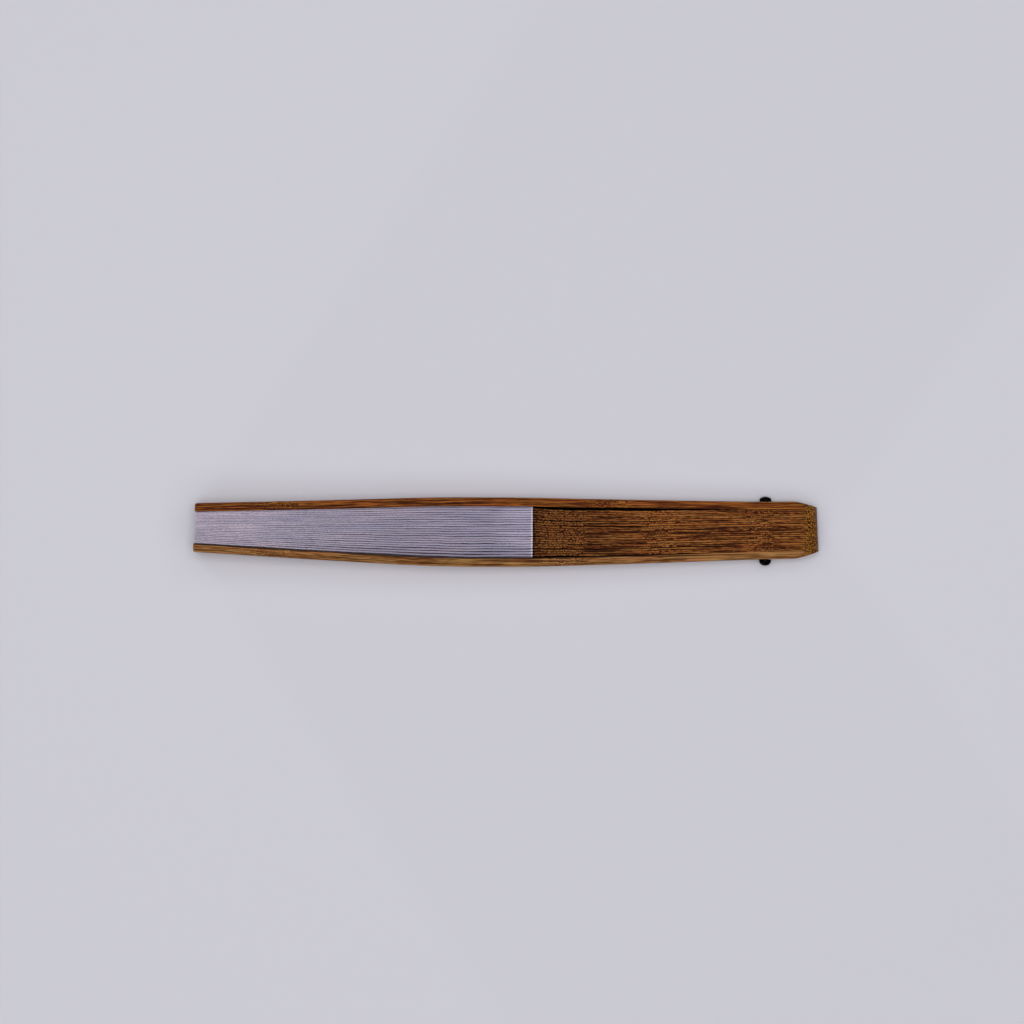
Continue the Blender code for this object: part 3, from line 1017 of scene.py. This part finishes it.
def band_mask(nodes, radius, bands):
    """How strongly the bamboo's nodes stir the grain at a radius."""
    mask = 0.0
    for place, half_width, strength in bands:
        away = nodes.math("ABSOLUTE", nodes.less(radius, place * MILLIMETRES))
        reach = half_width * MILLIMETRES
        band = nodes.ranged(away, (BAND_CORE * reach, reach), strength, 0.0, smooth_step=True)
        mask = nodes.total(band, mask)
    return mask


def below(nodes, edge, height):
    """How far a point lies below a stick's upper edge, or above its lower one."""
    return nodes.less(edge, nodes.math("ABSOLUTE", height))


def tone_guard_edges(nodes, colour, place, tones):
    """Gives a guard's inner edges colours, each with the radii between which it comes in. A dark one is
    painted shade.
    """
    radius, _, height = place
    edge = nodes.total(nodes.product(radius, EDGE_SLOPE), MILLIMETRES * guard_edge(0.0))
    near_edge = nodes.product(
        nodes.ranged(nodes.length("depth"), INNER_EDGE_DEPTH, INNER_EDGE_STRENGTH, 0.0),
        nodes.ranged(below(nodes, edge, height), INNER_EDGE_DROP, 1.0, 0.0),
    )
    for edge_colour, radii in tones:
        share = nodes.product(near_edge, nodes.ranged(radius, radii))
        colour = nodes.blend(share, colour, edge_colour)
    return colour


def shade_rib_edges(nodes, colour, place):
    """Paints shade on the ribs in the seams between them and towards the leaf."""
    radius, _, height = place
    neck = (0.0, MILLIMETRES * (LEAF_INNER_RADIUS - NECK_LENGTH))
    widths = (MILLIMETRES * rib_half_width(0.0), MILLIMETRES * NECK_WIDTH / 2)
    edge = nodes.ranged(radius, neck, *widths)
    seam_shade = nodes.product(
        nodes.ranged(nodes.length("depth"), SEAM_DEPTH, 0.0, SEAM_SHADE_STRENGTH),
        nodes.ranged(below(nodes, edge, height), SEAM_DROP, 1.0, 0.0),
    )
    colour = nodes.blend(seam_shade, colour, SHADOW_COLOUR)
    wide_shadow = nodes.ranged(radius, WIDE_SHADOW, 0.0, WIDE_SHADOW_STRENGTH)
    near_shadow = nodes.ranged(radius, NEAR_SHADOW, 0.0, NEAR_SHADOW_STRENGTH)
    return nodes.blend(nodes.math("MAXIMUM", wide_shadow, near_shadow), colour, SHADOW_COLOUR)


def bamboo(name, bands, colours, shorter, roughness, tone_edges):
    """Stained bamboo: long and shorter fibres, stirred at the nodes, and cut ends at the head."""
    nodes = Nodes(name)
    place = nodes.place()
    radius, across, height = place
    tone = nodes.attribute("tone")
    band = band_mask(nodes, radius, bands)

    flame = nodes.centred(nodes.noise(place, FLAME_SCALES))
    curl = nodes.centred(nodes.noise(place, CURL_SCALES))
    stir = nodes.total(nodes.product(flame, FLAME_REACH), nodes.product(curl, CURL_REACH))
    drift = nodes.noise((radius, tone, 0.0), DRIFT_SCALES)
    sway = nodes.total(nodes.product(stir, band), drift)
    swayed = (radius, nodes.total(across, sway), nodes.total(height, sway))

    def fibres(length_scale, width_scale, detail):
        scales = (length_scale, width_scale, width_scale)
        return nodes.noise(swayed, scales, detail, FIBRE_ROUGHNESS)

    long_fibre = fibres(*LONG_FIBRE)
    short_fibre = fibres(*shorter)
    speck = nodes.centred(fibres(*SPECK_FIBRE))
    grain = nodes.total(
        nodes.product(fibres(*BROAD_FIBRE), BROAD_SHARE),
        nodes.product(long_fibre, LONG_SHARE),
        nodes.product(short_fibre, SHORT_SHARE),
        nodes.product(band, nodes.total(speck, SPECK_LIFT)),
        nodes.product(tone, TONE_SHARE),
    )
    colour = nodes.ramp(grain, tuple(zip(GRAIN_STOPS, colours)))
    tint = nodes.ramp(nodes.noise(place, TINT_SCALES, detail=1.0), TINT_STOPS)
    colour = nodes.blend(1.0, colour, tint, "MULTIPLY")
    colour = tone_edges(nodes, colour, place)

    cut_end = nodes.ranged(radius, CUT_END, smooth_step=True)
    pores = nodes.noise(place, PORE_SCALES, detail=1.0, roughness=FIBRE_ROUGHNESS, fineness=2.0)
    end_colour = nodes.ramp(pores, PORE_STOPS)
    colour = nodes.blend(nodes.product(cut_end, CUT_END_STRENGTH), colour, end_colour)

    rough = nodes.ranged(grain, GRAIN_SPAN, *roughness)
    long_share, short_share, speck_share = RELIEF_SHARES
    relief = nodes.total(
        nodes.product(long_fibre, long_share),
        nodes.product(short_fibre, short_share),
        nodes.product(speck, band, speck_share),
    )
    normal = nodes.bump(relief, distance=0.00006)
    return nodes.finish(colour, rough, specular=0.07, normal=normal)


def guard_bamboo(name, places, colours, pale_edge, more_tones=()):
    bands = [(place, *GUARD_BAND) for place in places]
    pale_colour = tuple(PALE_GAIN * channel for channel in colours[-1])
    tones = [(pale_colour, pale_edge), *more_tones]
    tone_edges = functools.partial(tone_guard_edges, tones=tones)
    return bamboo(name, bands, colours, GUARD_SHORT_FIBRE, GUARD_ROUGHNESS, tone_edges)


def paper():
    """Lavender-grey paper with soft fibres, faint clouds of colour and a pale cut edge."""
    nodes = Nodes("leaf_paper")
    place = nodes.place()
    radius, _, height = place
    stack = nodes.length("stack")
    fibre = nodes.noise(place, PAPER_FIBRE_SCALES, detail=1.0, roughness=FIBRE_ROUGHNESS)
    cloud = nodes.noise((radius, stack, height), CLOUD_SCALES, detail=2.0)
    streak = nodes.noise(place, STREAK_SCALES, detail=1.0)
    toward_tip = nodes.ranged(radius, TIP_REACH, smooth_step=True)

    base = nodes.blend(toward_tip, *PAPER_COLOURS)
    for cloud_colour, levels, strength in PAPER_CLOUDS:
        share = nodes.product(nodes.ranged(cloud, levels), strength)
        base = nodes.blend(share, base, cloud_colour)

    def varied(noise, change):
        """A factor round 1 that follows a noise, by one amount inside and another at the tips."""
        amount = nodes.between(toward_tip, *change)
        return nodes.total(nodes.product(nodes.centred(noise), amount), 1.0)

    fold_change = nodes.ranged(radius, FOLD_CHANGE_REACH, *FOLD_CHANGE)
    dark_band = nodes.product(nodes.ranged(radius, DARK_BAND_START), nodes.ranged(radius, DARK_BAND_END))
    # Painted light: the paper is lighter towards the back guard and darker towards the front one
    backward_light = nodes.product(stack, nodes.between(toward_tip, *BACKWARD_LIGHT_CHANGE))
    level = nodes.product(
        nodes.total(nodes.product(nodes.attribute("tone"), fold_change), 1.0),
        varied(fibre, FIBRE_CHANGE),
        varied(cloud, CLOUD_CHANGE),
        varied(streak, STREAK_CHANGE),
        nodes.ranged(dark_band, (0.0, 1.0), *DARK_BAND_LEVELS),
        nodes.total(backward_light, 1.0),
    )
    base = nodes.blend(1.0, base, nodes.vector(level, level, level), "MULTIPLY")
    edge = [MILLIMETRES * LEAF_INNER_RADIUS + distance for distance in CUT_EDGE]
    cut_edge = nodes.ranged(radius, edge, CUT_EDGE_STRENGTH, 0.0)
    base = nodes.blend(cut_edge, base, CUT_EDGE_COLOUR)

    lean = nodes.bump(nodes.attribute("tilt"), distance=PLEAT_SLOPE)
    normal = nodes.bump(fibre, distance=0.00003, normal=lean)
    return nodes.finish(base, roughness=0.85, specular=0.25, normal=normal)


def resin():
    """Black moulded resin, glossy, with faint rubbing marks."""
    nodes = Nodes("rivet_resin")
    marks = nodes.noise(nodes.place(), detail=4.0, roughness=0.7, fineness=3.0)
    stops = [(place, (grey, grey, grey)) for place, grey in zip(MARK_SPAN, RESIN_GREYS)]
    rough = nodes.ranged(marks, MARK_SPAN, *RESIN_ROUGHNESS)
    normal = nodes.bump(marks, distance=0.00002)
    return nodes.finish(nodes.ramp(marks, stops), rough, specular=0.02, normal=normal)


def floor_paint():
    """Plain paint with painted shade, black in the gaps between the sticks; it runs into the backdrop
    far away.
    """
    nodes = Nodes("floor_paint")
    # Painted shade: the floor goes black where the sticks hide it from the sky
    occlusion_shade = nodes.add("ShaderNodeAmbientOcclusion", samples=8)
    occlusion_shade.inputs["Distance"].default_value = SHADE_REACH
    open_share = nodes.ranged(occlusion_shade.outputs["AO"], SHADE_SPAN, smooth_step=True)
    colour = nodes.blend(open_share, (0.0, 0.0, 0.0), FLOOR_COLOUR)
    nodes.finish(colour, roughness=0.9, specular=0.1)

    distance = nodes.add("ShaderNodeVectorMath", operation="LENGTH")
    nodes.feed(distance.inputs[0], nodes.add("ShaderNodeNewGeometry").outputs["Position"])
    far = nodes.ranged(distance.outputs["Value"], BACKDROP_REACH, smooth_step=True)
    path = nodes.add("ShaderNodeLightPath")
    seen = nodes.math("ADD", path.outputs["Is Camera Ray"], path.outputs["Is Glossy Ray"], clamped=True)
    backdrop = nodes.add("ShaderNodeEmission")
    nodes.feed(backdrop.inputs["Color"], (*BACKDROP_COLOUR, 1.0))
    choose = nodes.add("ShaderNodeMixShader")
    inputs = (nodes.product(far, seen), nodes.shader.outputs[0], backdrop.outputs[0])
    for socket, value in zip(choose.inputs, inputs):
        nodes.feed(socket, value)
    nodes.feed(nodes.tree.nodes["Material Output"].inputs["Surface"], choose.outputs[0])
    return nodes.material


# Stage

FLOOR_SIZE = 12.0
SKY_LIGHT = 0.06

# Camera. The picture's side and the size of a pixel give its distance.
LENS = 200.0
SENSOR = 36.0
PIXEL = 0.0003606
IMAGE_SIDE = 1024
VIEW_CENTRE = (0.0020, 0.0069)
VIEW_HEIGHT = 0.0100
VIEW_TURN = math.radians(0.3)


def make_floor():
    mesh_data = bmesh.new()
    bmesh.ops.create_grid(mesh_data, x_segments=1, y_segments=1, size=FLOOR_SIZE / 2)
    make_object("floor", mesh_data, floor_paint())


def make_world():
    """A faint even sky. The camera sees the backdrop's colour."""
    world = bpy.data.worlds.new("soft_sky")
    bpy.context.scene.world = world
    world.use_nodes = True
    tree = world.node_tree
    light = tree.nodes["Background"]
    light.inputs["Color"].default_value = (1.0, 1.0, 1.0, 1.0)
    light.inputs["Strength"].default_value = SKY_LIGHT
    seen = tree.nodes.new("ShaderNodeBackground")
    seen.inputs["Color"].default_value = (*BACKDROP_COLOUR, 1.0)
    path = tree.nodes.new("ShaderNodeLightPath")
    choose = tree.nodes.new("ShaderNodeMixShader")
    tree.links.new(path.outputs["Is Camera Ray"], choose.inputs[0])
    tree.links.new(light.outputs[0], choose.inputs[1])
    tree.links.new(seen.outputs[0], choose.inputs[2])
    tree.links.new(choose.outputs[0], tree.nodes["World Output"].inputs["Surface"])


def add_lamp(name, kind, place, **settings):
    lamp = bpy.data.lights.new(name, kind)
    for key, value in settings.items():
        setattr(lamp, key, value)
    obj = bpy.data.objects.new(name, lamp)
    obj.location = place
    # It faces the fan
    obj.rotation_euler = (-Vector(place)).to_track_quat("-Z", "Y").to_euler()
    bpy.context.scene.collection.objects.link(obj)


def make_lamps():
    """Soft light from above, and two low suns that light the sides and hardly the floor."""
    add_lamp("key_lamp", "AREA", (0.0, 0.1, 3.0), energy=36.8, size=1.3)
    add_lamp("wide_lamp", "AREA", (0.0, 0.0, 3.2), energy=104.5, size=6.0)
    for name, y in (("front_low_sun", -0.9), ("back_low_sun", 0.9)):
        add_lamp(name, "SUN", (-0.6, y, 0.04), energy=1.1, angle=math.radians(3))


def make_camera():
    """A long lens straight above the closed fan, as in the photo."""
    camera = bpy.data.cameras.new("camera")
    camera.lens = LENS
    camera.sensor_width = SENSOR
    camera.clip_start = 0.01
    obj = bpy.data.objects.new("camera", camera)
    distance = PIXEL * IMAGE_SIDE * LENS / SENSOR
    obj.location = (*VIEW_CENTRE, VIEW_HEIGHT + distance)
    obj.rotation_euler = (0.0, 0.0, VIEW_TURN)
    bpy.context.scene.collection.objects.link(obj)
    bpy.context.scene.camera = obj


def make_fan():
    # The front guard's dark inner edge is painted shade along the gap beside it
    edge_shade = (EDGE_SHADE_COLOUR, FRONT_DARK_EDGE)
    front_bamboo = guard_bamboo(
        "front_guard_bamboo", FRONT_GUARD_NODES, FRONT_COLOURS, FRONT_PALE_EDGE, [edge_shade]
    )
    back_bamboo = guard_bamboo("back_guard_bamboo", BACK_GUARD_NODES, BACK_COLOURS, BACK_PALE_EDGE)
    rib_bamboo = bamboo(
        "rib_bamboo", RIB_BANDS, RIB_COLOURS, RIB_SHORT_FIBRE, RIB_ROUGHNESS, shade_rib_edges
    )
    leaf_paper = paper()

    make_guard("front_guard", -1, FRONT_GUARD_NODES, front_bamboo)
    make_guard("back_guard", 1, BACK_GUARD_NODES, back_bamboo)
    for number in range(1, RIB_COUNT + 1):
        make_rib(number, rib_bamboo)
    make_falling_panel(0, None, leaf_paper)
    for number in range(1, RIB_COUNT + 2):
        waves = make_fold(number, leaf_paper)
        if number <= RIB_COUNT:
            make_falling_panel(number, waves, leaf_paper)
    make_rivet(resin())


bpy.context.scene.view_settings.view_transform = "Standard"
make_floor()
make_world()
make_lamps()
make_camera()
make_fan()
